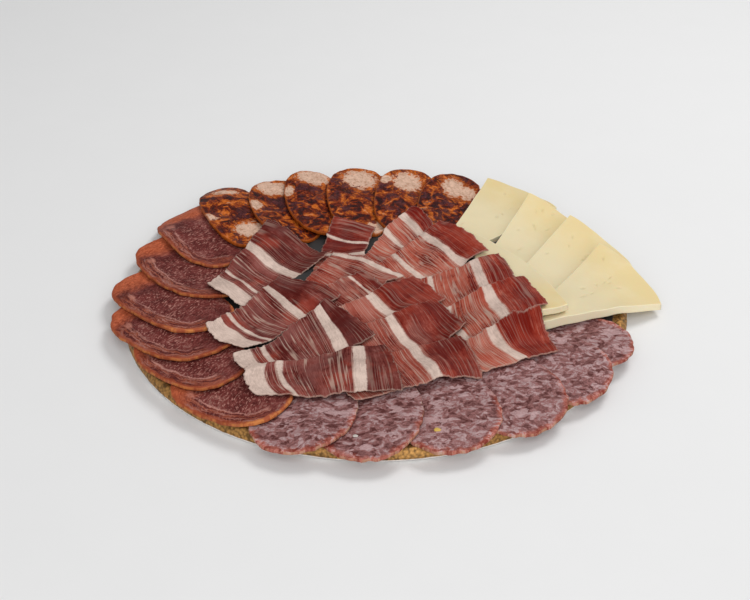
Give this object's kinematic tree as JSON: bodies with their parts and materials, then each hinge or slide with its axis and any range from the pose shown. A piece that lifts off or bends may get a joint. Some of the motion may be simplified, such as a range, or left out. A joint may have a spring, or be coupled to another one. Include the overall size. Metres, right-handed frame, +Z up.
{
  "type": "charcuterie board",
  "caption": "Round black serving tray with a gilded shoulder, laid with fans of sliced cured loin, chorizo, dry sausage and cheese around a pile of sliced ham.",
  "frame": {"origin": "centre of the tray's flat underside", "axes": "+Z up; -Y is the front, where the salchichon lies; +X is the side with the cheese"},
  "size_m": [0.2943, 0.2785, 0.0264],
  "materials": {
    "tray": "black lacquer with a soft sheen; the shoulder is gilded and finely hammered, and the lowest edge is left white",
    "salchichon": "moist cured mince, purple-brown with many pale fat flecks and an orange-red outer edge",
    "lomo": "moist cured lean loin, maroon-brown with fine pale streaks and an orange paprika edge",
    "chorizo": "oily coarse sausage, orange-red and dark red with cream fat pieces",
    "cheese": "smooth pale ivory cheese, yellower towards the rind side, with small holes",
    "ham": "moist thin-cut cured ham, red lean with fine pale streaks and broad bands of ivory fat"
  },
  "bodies": {
    "root": {"tray": "tray", "salchichon_1": "salchichon", "salchichon_2": "salchichon", "salchichon_3": "salchichon", "salchichon_4": "salchichon", "salchichon_5": "salchichon", "salchichon_6": "salchichon", "lomo_1": "lomo", "lomo_2": "lomo", "lomo_3": "lomo", "lomo_4": "lomo", "lomo_5": "lomo", "lomo_6": "lomo", "chorizo_1": "chorizo", "chorizo_2": "chorizo", "chorizo_3": "chorizo", "chorizo_4": "chorizo", "chorizo_5": "chorizo", "chorizo_6": "chorizo", "cheese_1": "cheese", "cheese_2": "cheese", "cheese_3": "cheese", "cheese_4": "cheese", "cheese_5": "cheese", "ham_right_1": "ham", "ham_right_2": "ham", "ham_right_3": "ham", "ham_right_4": "ham", "ham_right_5": "ham", "ham_middle_1": "ham", "ham_middle_2": "ham", "ham_middle_3": "ham", "ham_middle_4": "ham", "ham_middle_5": "ham", "ham_middle_6": "ham", "ham_left_1": "ham", "ham_left_2": "ham", "ham_left_3": "ham", "ham_left_4": "ham"}
  },
  "joints": []
}
